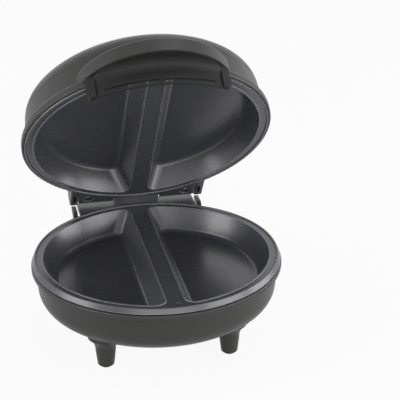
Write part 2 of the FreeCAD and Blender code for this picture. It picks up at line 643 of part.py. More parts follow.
def make_lid_shell():
    """Dome, grip, ears and hood in one moulding, closed pose."""
    outside = dome_outside()
    grip_low = LID_PLANE + GRIP_LOW
    grip = crescent(0.0, grip_low, grip_low + GRIP_H)
    grip = grip.cut(box(-200, 200, -GRIP_BACK, 200, 0, 200))
    rims = [e for e in grip.Edges if e.BoundBox.ZMin > grip_low + GRIP_H - 0.01 and e.BoundBox.YMin < -GRIP_BACK - 10]
    grip = grip.makeFillet(2.6, rims)
    shell = outside.fuse([grip] + hinge_ears() + [hinge_hood()])
    hollow = dome_inside()
    rabbet = rod(FLANGE_R - RABBET_WALL, V(0, 0, LID_PLANE - 1), V(0, 0, LID_PLANE + PLATE_T + 0.4))
    shell = shell.cut(hollow).cut(rabbet)
    grip_hollow = crescent(GRIP_WALL, grip_low - 1, grip_low + GRIP_H - GRIP_WALL)
    grip_hollow = grip_hollow.cut(box(-200, 200, -GRIP_BACK, 200, 0, 200))
    shell = shell.cut(grip_hollow.cut(outside))
    chamber = box(-EAR_IN, EAR_IN, FLANGE_R - 23.0, HINGE_Y + 30, LID_PLANE - 1, LID_PLANE + 4.2)
    web_half = KNUCKLE_HALF + SWING_GAP
    web_room = box(-web_half, web_half, WEB_FRONT - SWING_GAP, HINGE_Y, LID_PLANE, HINGE_Z)
    shell = shell.cut(chamber).cut(web_room)
    swing = rod(KNUCKLE_R + 0.5, V(-EAR_IN, HINGE_Y, HINGE_Z), V(EAR_IN, HINGE_Y, HINGE_Z))
    shell = shell.cut(swing)
    pin_hole = rod(PIN_R + PIN_CLEAR, V(-EAR_OUT + 2.5, HINGE_Y, HINGE_Z), V(EAR_OUT - 2.5, HINGE_Y, HINGE_Z))
    shell = shell.cut(pin_hole)
    seat_z = LID_PLANE + LUG_SET + LUG_T
    for side in (-1, 1):
        x = side * LUG_SCREW_X
        y = HINGE_Y - LUG_SCREW_BACK
        boss = rod(LUG_BOSS_R, V(x, y, seat_z), V(x, y, HINGE_Z + HOOD_IN + 1))
        shell = shell.fuse(boss).cut(rod(SCREW_R, V(x, y, seat_z - 1), V(x, y, seat_z + LUG_SCREW_LEN + 0.5)))
    for x, y in ((-LAMP_X, LAMP_Y), (LAMP_X, LAMP_Y)):
        shell = shell.cut(rod(LENS_R, V(x, y, LID_PLANE + 30), V(x, y, LID_PLANE + 80)))
    ceiling = LID_PLANE + DOME_H - SHELL_WALL
    post = rod(LAMP_POST_R, V(0, LAMP_Y, HOLDER_TOP), V(0, LAMP_Y, ceiling + 1))
    shell = shell.fuse(post).cut(rod(1.2, V(0, LAMP_Y, HOLDER_TOP - 1), V(0, LAMP_Y, HOLDER_TOP + 7)))
    wall = DOME_WALL_IN
    rib = box(-HOOK_HALF - 2, HOOK_HALF + 2, -wall - 0.5, -HOOK_Y - 0.5, HOOK_TOP - 3.6, HOOK_TOP - 1.8)
    shell = shell.fuse(rib)
    for x in (-GUARD_SCREW_X, GUARD_SCREW_X):
        z = LID_PLANE + GUARD_SCREW_Z
        boss = rod(GUARD_BOSS_R, V(x, -wall - 0.5, z), V(x, -GUARD_POST_Y + GUARD_CLEAR, z))
        shell = shell.fuse(boss.cut(rod(wall, V(0, 0, 0), V(0, 0, 200))))
        shell = shell.cut(rod(1.7, V(x, -GRIP_BACK, z), V(x, -GUARD_POST_Y - 5, z)))
        shell = shell.cut(rod(3.0, V(x, -GRIP_BACK, z), V(x, -GUARD_HEAD_Y, z)))
    return shell.removeSplitter()


def make_handle_guard():
    """Inner cover of the grip: deck, rounded root, slotted skirt, end blocks and screw posts, closed pose."""
    low = LID_PLANE + GRIP_LOW + GUARD_SINK
    top = low + GUARD_T
    skirt_low = LID_PLANE - SKIRT_DROP
    skirt_top = LID_PLANE + GRIP_LOW - GUARD_CLEAR
    inner = crescent(GRIP_WALL + GUARD_CLEAR, skirt_low - 1, top)
    everywhere = rod(300, V(0, 0, skirt_low - 5), V(0, 0, top + 5)).cut(box(-200, 200, -GRIP_BACK, 200, 0, 200))
    deck = inner.common(box(-200, 200, -200, -GRIP_BACK, low, top)).cut(rod(SKIRT_IN, V(0, 0, 0), V(0, 0, 200)))
    root = GUARD_FILLET
    bend = 1 - math.cos(math.pi / 4)
    band = wire([V(SKIRT_IN, 0, skirt_low + 0.6), V(SKIRT_IN + 0.6, 0, skirt_low), V(SKIRT_OUT - 0.6, 0, skirt_low),
                 V(SKIRT_OUT, 0, skirt_low + 0.6), V(SKIRT_OUT, 0, low - root),
                 ("arc", V(SKIRT_OUT + root * bend, 0, low - root * bend), V(SKIRT_OUT + root, 0, low)),
                 V(SKIRT_OUT + root, 0, top), V(SKIRT_IN, 0, top)])
    ring = Part.Face(band).revolve(V(0, 0, 0), Z_AXIS, 360).common(everywhere)
    under = ring.common(box(-SKIRT_HALF, SKIRT_HALF, -200, -GRIP_BACK, skirt_low - 1, skirt_top))
    neck = ring.common(inner).common(box(-SKIRT_HALF, SKIRT_HALF, -200, -GRIP_BACK, skirt_top - 0.5, top))
    root_room = rod(SKIRT_OUT, V(0, 0, 0), V(0, 0, 200))
    under = under.common(root_room.fuse(inner))
    guard = deck.fuse([under, neck])
    for side in (-1, 1):
        x_low, x_high = sorted((side * BLOCK_IN, side * SKIRT_HALF))
        block = rod(SKIRT_IN + BLOCK_T, V(0, 0, skirt_low), V(0, 0, skirt_top))
        block = block.cut(rod(SKIRT_IN, V(0, 0, 0), V(0, 0, 200)))
        block = block.common(box(x_low, x_high, -200, -60, 0, 200))
        guard = guard.fuse(block)
        x_low, x_high = sorted((side * SLOT_RIB / 2, side * SLOT_HALF))
        slot_low = skirt_low + SLOT_RAIL
        guard = guard.cut(box(x_low, x_high, -200, -GRIP_BACK, slot_low, slot_low + SLOT_H))
        c = SKIRT_CORNER
        x_out = side * SKIRT_HALF
        away = wire([V(x_out + side, -200, skirt_low - 1), V(x_out - side * c, -200, skirt_low - 1),
                     V(x_out - side * c, -200, skirt_low),
                     ("arc", V(x_out - side * c * 0.293, -200, skirt_low + c * 0.293), V(x_out, -200, skirt_low + c)),
                     V(x_out + side, -200, skirt_low + c)])
        guard = guard.cut(Part.Face(away).extrude(V(0, 140, 0)))
        x = side * GUARD_SCREW_X
        z = LID_PLANE + GUARD_SCREW_Z
        post = box(x - 4.5, x + 4.5, -GUARD_POST_Y - GUARD_POST_T, -GUARD_POST_Y, top - 1, z + 3.6)
        post = post.cut(rod(SKIRT_IN, V(0, 0, 0), V(0, 0, top)))
        guard = guard.fuse(post).cut(rod(1.2, V(x, -90, z), V(x, -GUARD_POST_Y - GUARD_POST_T + 0.8, z)))
    return guard.removeSplitter()


def make_guard_screws():
    """Two screws from inside the dome into the guard's posts, closed pose."""
    screws = []
    for side in (-1, 1):
        x = side * GUARD_SCREW_X
        z = LID_PLANE + GUARD_SCREW_Z
        head = rod(2.6, V(x, -GUARD_HEAD_Y + 1.8, z), V(x, -GUARD_HEAD_Y, z))
        shank = rod(1.18, V(x, -GUARD_HEAD_Y, z), V(x, -GUARD_POST_Y - GUARD_POST_T + 1.2, z))
        screws.append(head.fuse(shank).removeSplitter())
    return screws


def make_lamp_holder():
    """Carrier strip of the two lamps, hung on a post under the dome, closed pose."""
    reach = LAMP_X + HOLDER_MARGIN
    y_low = LAMP_Y - HOLDER_MARGIN
    y_high = LAMP_Y + HOLDER_MARGIN
    strip = box(-reach, reach, y_low, y_high, HOLDER_TOP - HOLDER_T, HOLDER_TOP)
    for side in (-1, 1):
        x_low, x_high = sorted((side * (reach - HOLDER_T), side * reach))
        strip = strip.fuse(box(x_low, x_high, y_low, y_high, HOLDER_TOP - 1, HOLDER_TOP + 3))
    return strip.cut(rod(1.3, V(0, LAMP_Y, HOLDER_TOP - 3), V(0, LAMP_Y, HOLDER_TOP + 1))).removeSplitter()


def make_holder_screw():
    under = HOLDER_TOP - HOLDER_T
    head = rod(2.4, V(0, LAMP_Y, under - 1.6), V(0, LAMP_Y, under))
    return head.fuse(rod(1.18, V(0, LAMP_Y, under), V(0, LAMP_Y, HOLDER_TOP + 6))).removeSplitter()


def make_lamps():
    """Two small lamps standing on the holder under their lenses, closed pose."""
    lamps = []
    for x in (-LAMP_X, LAMP_X):
        body = rod(2.5, V(x, LAMP_Y, HOLDER_TOP), V(x, LAMP_Y, HOLDER_TOP + 4.0))
        tip = Part.makeSphere(2.5, V(x, LAMP_Y, HOLDER_TOP + 4.0))
        lamps.append(body.fuse(tip.common(rod(3, V(x, LAMP_Y, HOLDER_TOP + 1), V(x, LAMP_Y, HOLDER_TOP + 9)))).removeSplitter())
    return lamps


def make_terminal_screws():
    """Clamp screws in the four wells of the terminal block."""
    z = BLOCK_Z
    screws = []
    for x in (-6, 6):
        for y in (BLOCK_Y - 3.6, BLOCK_Y + 3.6):
            body = rod(1.55, V(x, y, z + 4.8), V(x, y, z + 7.0))
            screws.append(body.cut(box(x - 2, x + 2, y - 0.3, y + 0.3, z + 6.3, z + 8)))
    return screws


def make_base_leads():
    """Block to fuse, fuse to thermostat, thermostat to element, element back to the block."""
    pin_x, pin_y = cold_pin_xy()
    pin_z = LOWER_BAND - TUBE_DROP - COLD_PIN - 0.1
    pole_y = BLOCK_Y - 4.0
    pole_z = BLOCK_Z + 3.6
    fuse_y = FUSE_LEN / 2 + 6.1
    fuse_z = LOWER_BAND - FLOOR_UNDER - FUSE_R - 0.05
    blade_x = THERMO_X - 12.4
    blade_z = LOWER_BAND - FLOOR_UNDER - 0.05 - THERMO_H + 2.4
    slot_y = 19.0
    low = BOWL_FLOOR + SHELL_WALL + LEAD_R + 1.1
    turn_y = pole_y - 11.0
    routes = [
        [V(-6, pole_y, pole_z), V(-6, slot_y, pole_z), V(-6, slot_y, fuse_z), V(FUSE_X, fuse_y + 7, fuse_z),
         V(FUSE_X, fuse_y, fuse_z)],
        [V(FUSE_X, -fuse_y, fuse_z), V(FUSE_X, -fuse_y - 7, fuse_z), V(10, -fuse_y - 7, fuse_z - 2.5),
         V(16, -3.6, blade_z), V(blade_x, -3.6, blade_z)],
        [V(blade_x, 3.6, blade_z), V(14, 3.6, blade_z), V(6, slot_y, blade_z), V(6, slot_y, low),
         V(18, turn_y + 2, low), V(18, pin_y - 7, low), V(pin_x, pin_y, low), V(pin_x, pin_y, pin_z)],
        [V(-pin_x, pin_y, pin_z), V(-pin_x, pin_y, low), V(-18, pin_y - 7, low), V(-18, turn_y, low),
         V(0, turn_y, low), V(6, turn_y + 3, pole_z), V(6, pole_y, pole_z)]]
    return [bent_tube(route, LEAD_BEND, LEAD_R) for route in routes]


def cold_pin_xy():
    """Where the right-hand cold pin stands, seen from above."""
    half = math.radians(RING_GAP_DEG / 2)
    return (RING_R * math.sin(half) - PIN_REACH * math.cos(half),
            RING_R * math.cos(half) + PIN_REACH * math.sin(half))


def ring_element():
    """Sheathed ring element in plate coordinates, with two cold pins turned away from the plate."""
    z = -TUBE_DROP
    half = math.radians(RING_GAP_DEG / 2)
    disc = Part.Face(Part.Wire(Part.makeCircle(TUBE_R, V(RING_R, 0, z), V(0, 1, 0))))
    ring = disc.revolve(V(0, 0, z), Z_AXIS, 360 - RING_GAP_DEG)
    ring.rotate(V(0, 0, 0), Z_AXIS, 90 + RING_GAP_DEG / 2)
    pin_x, pin_y = cold_pin_xy()
    pins = []
    for side in (-1, 1):
        end = V(side * RING_R * math.sin(half), RING_R * math.cos(half), z)
        pins.append(bent_tube([end, V(side * pin_x, pin_y, z), V(side * pin_x, pin_y, z - COLD_PIN)],
                              PIN_BEND, TUBE_R))
    return ring.fuse(pins).removeSplitter()


def element_clips():
    """Four clips round the ring, each with one foot flat on the plate, plate coordinates."""
    mid = -(TUBE_R + SEAT)
    inner = TUBE_R + CLIP_ROOM
    outer = inner + CLIP_T
    outline = wire([V(-outer - CLIP_FOOT, 0, 0), V(-outer - CLIP_FOOT, 0, -CLIP_T), V(-outer, 0, -CLIP_T),
                    V(-outer, 0, mid), ("arc", V(0, 0, mid - outer), V(outer, 0, mid)), V(outer, 0, 0),
                    V(inner, 0, 0), V(inner, 0, mid), ("arc", V(0, 0, mid - inner), V(-inner, 0, mid)),
                    V(-inner, 0, 0)])
    face = Part.Face(outline)
    face.translate(V(RING_R, -CLIP_W / 2, -FLOOR_UNDER))
    screw_x = RING_R - outer - CLIP_FOOT / 2
    clip = face.extrude(V(0, CLIP_W, 0))
    clip = clip.cut(rod(CLIP_SCREW_R + 0.1, V(screw_x, 0, -FLOOR_UNDER - 2), V(screw_x, 0, -FLOOR_UNDER + 1)))
    clips = []
    for angle in CLIP_ANGLES:
        copy = clip.copy()
        copy.rotate(V(0, 0, 0), Z_AXIS, angle)
        clips.append(copy)
    return clips


def clip_screw_axis(angle):
    reach = RING_R - TUBE_R - CLIP_ROOM - CLIP_T - CLIP_FOOT / 2
    a = math.radians(angle)
    return reach * math.cos(a), reach * math.sin(a)


def clip_screws():
    """Short screws through the clip feet into the cavity floors, plate coordinates."""
    screws = []
    for angle in CLIP_ANGLES:
        x, y = clip_screw_axis(angle)
        under = -FLOOR_UNDER - CLIP_T
        head = rod(2.4, V(x, y, under - 1.6), V(x, y, under))
        shank = rod(CLIP_SCREW_R, V(x, y, under), V(x, y, under + CLIP_T + CLIP_SCREW_BITE))
        screws.append(head.fuse(shank).removeSplitter())
    return screws


def drilled_for_clips(plate):
    """Blind holes of the clip screws in the undersides of the cavity floors."""
    for angle in CLIP_ANGLES:
        x, y = clip_screw_axis(angle)
        top = -FLOOR_UNDER + CLIP_SCREW_BITE + 0.1
        plate = plate.cut(rod(CLIP_SCREW_R + 0.03, V(x, y, -FLOOR_UNDER - 1), V(x, y, top)))
    return plate


def heat_shield():
    """Pressed dish under the element, plate coordinates; it rests on the four bosses."""
    top = -FLOOR_UNDER - BOSS_LEN
    outline = [(0, top), (SHIELD_R - SHIELD_SLOPE, top), (SHIELD_R, top + SHIELD_RIM),
               (SHIELD_R + SHIELD_T, top + SHIELD_RIM), (SHIELD_R - SHIELD_SLOPE + SHIELD_T, top - SHIELD_T),
               (0, top - SHIELD_T)]
    dish_body = turned(outline)
    for x, y in four_corners(BOSS_X, BOSS_Y):
        dish_body = dish_body.cut(rod(SCREW_R + 0.2, V(x, y, top - 2), V(x, y, top + 2)))
    dish_body = dish_body.cut(box(-16, 16, RING_R - 7, RING_R + 8, top - 2, top + 2))
    return dish_body.cut(box(-10, 10, 14, 24, top - 2, top + 2))


def make_base_screws():
    """Long screws from under the bowl, through the shield, into the plate bosses."""
    screws = []
    seat = BOWL_FLOOR + 4.0
    tip = LOWER_BAND - FLOOR_UNDER - BOSS_LEN + SCREW_BITE
    for x, y in four_corners(BOSS_X, BOSS_Y):
        head = rod(SCREW_HEAD_R, V(x, y, seat), V(x, y, seat + SCREW_HEAD_H))
        driver = box(x - 2.2, x + 2.2, y - 0.5, y + 0.5, seat - 0.1, seat + 1.2)
        cross = box(x - 0.5, x + 0.5, y - 2.2, y + 2.2, seat - 0.1, seat + 1.2)
        shank = rod(SCREW_R - 0.02, V(x, y, seat + SCREW_HEAD_H), V(x, y, tip))
        screws.append(head.cut(driver).cut(cross).fuse(shank).removeSplitter())
    return screws


def make_shield_screws():
    """Short screws that hold the upper shield on the upper plate, plate coordinates."""
    under = -FLOOR_UNDER - BOSS_LEN - SHIELD_T
    screws = []
    for x, y in four_corners(BOSS_X, BOSS_Y):
        head = rod(SCREW_HEAD_R, V(x, y, under - SCREW_HEAD_H), V(x, y, under))
        shank = rod(SCREW_R - 0.02, V(x, y, under), V(x, y, under + SHIELD_T + SCREW_BITE))
        screws.append(head.fuse(shank).removeSplitter())
    return screws


def make_thermostat():
    """Disc thermostat with two blade terminals, plate coordinates."""
    top = -FLOOR_UNDER - 0.05
    body = rod(THERMO_R, V(THERMO_X, 0, top - 2.5), V(THERMO_X, 0, top))
    body = body.fuse(rod(THERMO_R - 1.2, V(THERMO_X, 0, top - THERMO_H), V(THERMO_X, 0, top - 2.5)))
    for y in (-3.6, 3.6):
        blade = box(THERMO_X - 6.8 - 5.5, THERMO_X - 5.0, y - 1.6, y + 1.6, top - THERMO_H + 2.0, top - THERMO_H + 2.8)
        body = body.fuse(blade)
    return body.removeSplitter()


def make_thermostat_bracket():
    """Strap over the thermostat's flange with two feet on the plate, plate coordinates."""
    top = -FLOOR_UNDER
    body_low = top - THERMO_H - 0.05
    outline = wire([V(THERMO_X - 4, -THERMO_R - 7, top), V(THERMO_X - 4, -THERMO_R - 7, top - 1),
                    V(THERMO_X - 4, -THERMO_R - 1.6, top - 1), V(THERMO_X - 4, -THERMO_R - 1.6, body_low - 1),
                    V(THERMO_X - 4, THERMO_R + 1.6, body_low - 1), V(THERMO_X - 4, THERMO_R + 1.6, top - 1),
                    V(THERMO_X - 4, THERMO_R + 7, top - 1), V(THERMO_X - 4, THERMO_R + 7, top),
                    V(THERMO_X - 4, THERMO_R + 0.6, top), V(THERMO_X - 4, THERMO_R + 0.6, body_low),
                    V(THERMO_X - 4, -THERMO_R - 0.6, body_low), V(THERMO_X - 4, -THERMO_R - 0.6, top)])
    return Part.Face(outline).extrude(V(8, 0, 0))


def make_fuse():
    """Sleeved thermal fuse lying along Y under the left cavity, plate coordinates."""
    z = -FLOOR_UNDER - FUSE_R - 0.05
    body = rod(FUSE_R, V(FUSE_X, -FUSE_LEN / 2, z), V(FUSE_X, FUSE_LEN / 2, z))
    wires = rod(0.6, V(FUSE_X, -FUSE_LEN / 2 - 6, z), V(FUSE_X, FUSE_LEN / 2 + 6, z))
    return body.fuse(wires).removeSplitter()


def make_fuse_clip():
    """Spring clip round the fuse with one foot on the plate, plate coordinates."""
    inner = FUSE_R + 0.1
    outer = inner + 0.7
    mid = -FUSE_R - 0.05
    outline = wire([V(-outer - 7, 0, 0), V(-outer - 7, 0, -0.7), V(-outer, 0, -0.7), V(-outer, 0, mid),
                    ("arc", V(0, 0, mid - outer), V(outer, 0, mid)), V(outer, 0, 0), V(inner, 0, 0),
                    V(inner, 0, mid), ("arc", V(0, 0, mid - inner), V(-inner, 0, mid)), V(-inner, 0, 0)])
    face = Part.Face(outline)
    face.translate(V(FUSE_X, -4, -FLOOR_UNDER))
    return face.extrude(V(0, 8, 0))


def make_terminal_block():
    """Two-pole ceramic block on its seat in the bowl."""
    z = BLOCK_Z
    block = box(-12, 12, BLOCK_Y - 7, BLOCK_Y + 7, z, z + 7.5)
    for x in (-6, 6):
        block = block.cut(rod(2.2, V(x, BLOCK_Y - 8, z + 3.6), V(x, BLOCK_Y + 8, z + 3.6)))
        block = block.cut(rod(1.6, V(x, BLOCK_Y - 3.6, z + 3), V(x, BLOCK_Y - 3.6, z + 9)))
        block = block.cut(rod(1.6, V(x, BLOCK_Y + 3.6, z + 3), V(x, BLOCK_Y + 3.6, z + 9)))
    block = block.cut(box(-1, 1, BLOCK_Y - 8, BLOCK_Y + 8, z + 4.5, z + 9))
    return block


def make_cord_gland():
    """Bush in the rear wall with its bore open for a mains lead."""
    inner_y = WALL_R - SHELL_WALL - 4.5
    outer_y = WALL_R + 3.0
    bush = rod(GLAND_R - 0.03, V(0, inner_y, GLAND_Z), V(0, outer_y, GLAND_Z))
    collar = rod(GLAND_FLANGE, V(0, WALL_R + 0.1, GLAND_Z), V(0, outer_y, GLAND_Z))
    nut = rod(GLAND_FLANGE, V(0, inner_y, GLAND_Z), V(0, inner_y + 2.6, GLAND_Z))
    gland = bush.fuse([collar, nut])
    return gland.cut(rod(GLAND_BORE, V(0, WALL_R - 40, GLAND_Z), V(0, WALL_R + 40, GLAND_Z))).removeSplitter()


def make_hinge_pin():
    end = EAR_OUT - 2.8
    return rod(PIN_R, V(-end, HINGE_Y, HINGE_Z), V(end, HINGE_Y, HINGE_Z))


def make_hinge_washers():
    """Two spring washers that press on the middle knuckle and hold the lid where it is left."""
    washers = []
    for side in (-1, 1):
        x_low, x_high = sorted((side * (KNUCKLE_HALF + 0.05), side * (KNUCKLE_HALF + WASHER_T - 0.05)))
        ring = rod(KNUCKLE_R - 1.0, V(x_low, HINGE_Y, HINGE_Z), V(x_high, HINGE_Y, HINGE_Z))
        washers.append(ring.cut(rod(PIN_R + PIN_CLEAR, V(x_low - 1, HINGE_Y, HINGE_Z), V(x_high + 1, HINGE_Y, HINGE_Z))))
    return washers


def make_lug_screws():
    """Screws in the sunk holes of the upper plate's lugs, closed pose."""
    low = LID_PLANE + LUG_SET + LUG_SINK
    screws = []
    for side in (-1, 1):
        x = side * LUG_SCREW_X
        y = HINGE_Y - LUG_SCREW_BACK
        head = rod(LUG_HEAD_R, V(x, y, low - LUG_HEAD_H), V(x, y, low))
        screws.append(head.fuse(rod(SCREW_R, V(x, y, low), V(x, y, low + LUG_SCREW_LEN))).removeSplitter())
    return screws


def make_lenses():
    """Indicator lenses pressed into the front of the lid's top, closed pose."""
    lenses = []
    for x in (-LAMP_X, LAMP_X):
        low = LID_PLANE + DOME_H - SHELL_WALL - 1.5
        stem = rod(LENS_R - 0.03, V(x, LAMP_Y, low), V(x, LAMP_Y, LID_PLANE + DOME_H + 0.6))
        cap = Part.makeSphere(9.0, V(x, LAMP_Y, LID_PLANE + DOME_H + 1.6 - 9.0))
        lenses.append(stem.fuse(cap.common(rod(LENS_R - 0.03, V(x, LAMP_Y, low), V(x, LAMP_Y, low + 20)))).removeSplitter())
    return lenses


def export(name, shapes):
    """Write one node, and print what it holds."""
    solids = []
    for shape in shapes if isinstance(shapes, list) else [shapes]:
        solids += shape.Solids
    body = solids[0].copy() if len(solids) == 1 else Part.makeCompound(solids)
    body.translate(V(0, -FRAME_BACK, 0))
    faults = sum(0 if s.isValid() else 1 for s in solids)
    print(name, len(solids), "solid(s)", round(sum(s.Volume for s in solids), 1), "mm3, faults", faults)
    body.exportStep("parts/" + name + ".step")


def lid_side(shapes):
    """Open a lid piece or a list of them."""
    return [opened(s) for s in (shapes if isinstance(shapes, list) else [shapes])]


def in_lid(shapes):
    """Plate coordinates to the opened lid."""
    return [opened(flipped(s)) for s in (shapes if isinstance(shapes, list) else [shapes])]


def in_base(shapes):
    """Plate coordinates to the base."""
    return [seated(s) for s in (shapes if isinstance(shapes, list) else [shapes])]


def main():
    os.makedirs("parts", exist_ok=True)
    export("base_shell", make_base_shell())
    export("foot_pads", make_foot_pads())
    export("lower_plate", make_lower_plate())
    export("lower_element", in_base(ring_element()))
    export("lower_element_clips", in_base(element_clips()))
    export("lower_clip_screws", in_base(clip_screws()))
    export("lower_heat_shield", in_base(heat_shield()))
    export("base_screws", make_base_screws())
    export("thermostat", in_base(make_thermostat()))
    export("thermostat_bracket", in_base(make_thermostat_bracket()))
    export("thermal_fuse", in_base(make_fuse()))
    export("fuse_clip", in_base(make_fuse_clip()))
    export("terminal_block", make_terminal_block())
    export("terminal_screws", make_terminal_screws())
    export("base_leads", make_base_leads())
    export("cord_gland", make_cord_gland())
    export("hinge_pin", make_hinge_pin())
    export("hinge_washers", make_hinge_washers())
    export("lid_shell", lid_side(make_lid_shell()))
    export("handle_guard", lid_side(make_handle_guard()))
    export("guard_screws", lid_side(make_guard_screws()))
    export("upper_plate", lid_side(make_upper_plate()))
    export("lug_screws", lid_side(make_lug_screws()))
    export("upper_element", in_lid(ring_element()))
    export("upper_element_clips", in_lid(element_clips()))
    export("upper_clip_screws", in_lid(clip_screws()))
    export("upper_heat_shield", in_lid(heat_shield()))
    export("upper_shield_screws", in_lid(make_shield_screws()))
    export("lamp_holder", lid_side(make_lamp_holder()))
    export("holder_screw", lid_side(make_holder_screw()))
    export("indicator_lamps", lid_side(make_lamps()))
    lenses = make_lenses()
    export("power_lens", lid_side(lenses[0]))
    export("ready_lens", lid_side(lenses[1]))


main()
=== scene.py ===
# %% [markdown]
# A round omelette maker stands open on a pale table. Its rigid pieces are already modelled
# to size, so this lesson only dresses them: camera, light, and one material for each finish.
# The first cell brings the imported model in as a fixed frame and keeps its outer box.

import json
import math

import bpy
from mathutils import Matrix, Vector

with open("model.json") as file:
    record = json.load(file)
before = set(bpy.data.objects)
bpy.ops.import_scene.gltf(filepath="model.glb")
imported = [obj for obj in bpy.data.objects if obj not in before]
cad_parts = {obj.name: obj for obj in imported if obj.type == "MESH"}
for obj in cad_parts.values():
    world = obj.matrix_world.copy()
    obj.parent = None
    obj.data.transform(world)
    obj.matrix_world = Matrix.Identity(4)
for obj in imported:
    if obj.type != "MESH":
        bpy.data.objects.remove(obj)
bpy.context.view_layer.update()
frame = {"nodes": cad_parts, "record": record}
bpy.context.scene.view_settings.view_transform = "Standard"

# %% [markdown]
# The picture was taken from the left of the grip, a little above the open plates, with a
# long lens. A camera can be placed by eye, but then rims never line up. Here its direction
# comes from two angles, its place from a distance along that direction, and a half-degree
# of roll is kept, because the bowl leans by that much in the picture.

# %% Camera
VIEW_TURN = math.radians(-11.218)
VIEW_RISE = math.radians(23.859)
VIEW_ROLL = math.radians(-0.586)
VIEW_DISTANCE = 1.3173
FRAME_SIZE = 400
FOCAL_PIXELS = 1581.5
AIM = Vector((0.03785, -0.0091, 0.1194))

away = Vector((math.sin(VIEW_TURN) * math.cos(VIEW_RISE), -math.cos(VIEW_TURN) * math.cos(VIEW_RISE),
               math.sin(VIEW_RISE)))
level = Vector((0, 0, 1)).cross(away).normalized()
upward = away.cross(level)
across = level * math.cos(VIEW_ROLL) + upward * math.sin(VIEW_ROLL)
upright = upward * math.cos(VIEW_ROLL) - level * math.sin(VIEW_ROLL)
lens = bpy.data.cameras.new("view")
lens.sensor_width = 36.0
lens.lens = lens.sensor_width * FOCAL_PIXELS / FRAME_SIZE
lens.clip_end = 20.0
camera = bpy.data.objects.new("view", lens)
camera.matrix_world = Matrix.Translation(AIM + away * VIEW_DISTANCE) @ Matrix((across, upright, away)).transposed().to_4x4()
bpy.context.scene.collection.objects.link(camera)
bpy.context.scene.camera = camera
print("lens", round(lens.lens, 1), "mm at", [round(v, 3) for v in camera.location])

# %% [markdown]
# A material is a small tree of nodes. Two helpers keep the cells below short: one adds a
# node and sets its named settings, the other joins an output to an input.

# %% Node helpers


def add(tree, kind, **settings):
    """New node; a setting is an input's name with _ for blanks, or one of the node's own values."""
    made = tree.nodes.new("ShaderNode" + kind)
    for name, value in settings.items():
        label = name.replace("_", " ")
        if label in made.inputs:
            made.inputs[label].default_value = value
        else:
            setattr(made, name, value)
    return made


def join(tree, source, output, target, target_input):
    tree.links.new(source.outputs[output], target.inputs[target_input])


print("helpers ready")

# %% [markdown]
# Effects that several finishes share are node groups, so they are built once. Every group
# here takes plain numbers and puts out masks, heights or a normal that vary over the surface.

# %% Group helper


def new_group(name, inputs, outputs):
    """Empty shader group with float inputs {name: default} and outputs [(name, socket kind)]."""
    tree = bpy.data.node_groups.new(name, "ShaderNodeTree")
    for label, value in inputs.items():
        socket = tree.interface.new_socket(label, in_out="INPUT", socket_type="NodeSocketFloat")
        socket.default_value = value
    for label, kind in outputs:
        tree.interface.new_socket(label, in_out="OUTPUT", socket_type=kind)
    return tree, tree.nodes.new("NodeGroupInput"), tree.nodes.new("NodeGroupOutput")


FLOAT = "NodeSocketFloat"
VECTOR = "NodeSocketVector"
print("group helper ready")

# %% [markdown]
# Moulded plastic is never quite smooth: the steel mould is spark-eroded, which leaves a
# fine pebbled grain, and the colour drifts a little over a hand's width. Noise textures give
# both. A bump picture would need unwrapping, so the noise is read from object coordinates.

# %% Moulding grain
grain, grain_in, grain_out = new_group(
    "Moulding grain", {"Grain per metre": 2600.0, "Drift per metre": 9.0}, [("Height", FLOAT), ("Drift", FLOAT)])
place = add(grain, "TexCoord")
fine = add(grain, "TexNoise", Detail=2.0, Roughness=0.6)
slow = add(grain, "TexNoise", Detail=3.0, Roughness=0.5)
join(grain, place, "Object", fine, "Vector")
join(grain, place, "Object", slow, "Vector")
join(grain, grain_in, "Grain per metre", fine, "Scale")
join(grain, grain_in, "Drift per metre", slow, "Scale")
join(grain, fine, 0, grain_out, "Height")
join(grain, slow, 0, grain_out, "Drift")
print("group", grain.name)

# %% [markdown]
# Real edges are never knife-sharp, and they go a little lighter where cloths and fingers rub.
# The Bevel node gives a rounded normal at each edge; where it differs from the true normal
# there is an edge, and that difference, broken up by noise, is the edge mask. It marks rubbed
# wear, and on the release coating it also lays a painted highlight along the edges.

# %% Rubbed edges and painted highlight
wear_and_highlight_edges, rub_in, rub_out = new_group(
    "Rubbed edges and painted highlight", {"Edge radius": 0.0006, "Gain": 3.0, "Evenness": 0.0}, [("Mask", FLOAT), ("Normal", VECTOR)])
rounded = add(wear_and_highlight_edges, "Bevel", samples=6)
true_face = add(wear_and_highlight_edges, "NewGeometry")
likeness = add(wear_and_highlight_edges, "VectorMath", operation="DOT_PRODUCT")
gap = add(wear_and_highlight_edges, "Math", operation="SUBTRACT")
gap.inputs[0].default_value = 1.0
spread = add(wear_and_highlight_edges, "Math", operation="MULTIPLY")
rub_place = add(wear_and_highlight_edges, "TexCoord")
patchy = add(wear_and_highlight_edges, "TexNoise", Scale=140.0, Detail=3.0)
fill = add(wear_and_highlight_edges, "Math", operation="ADD")
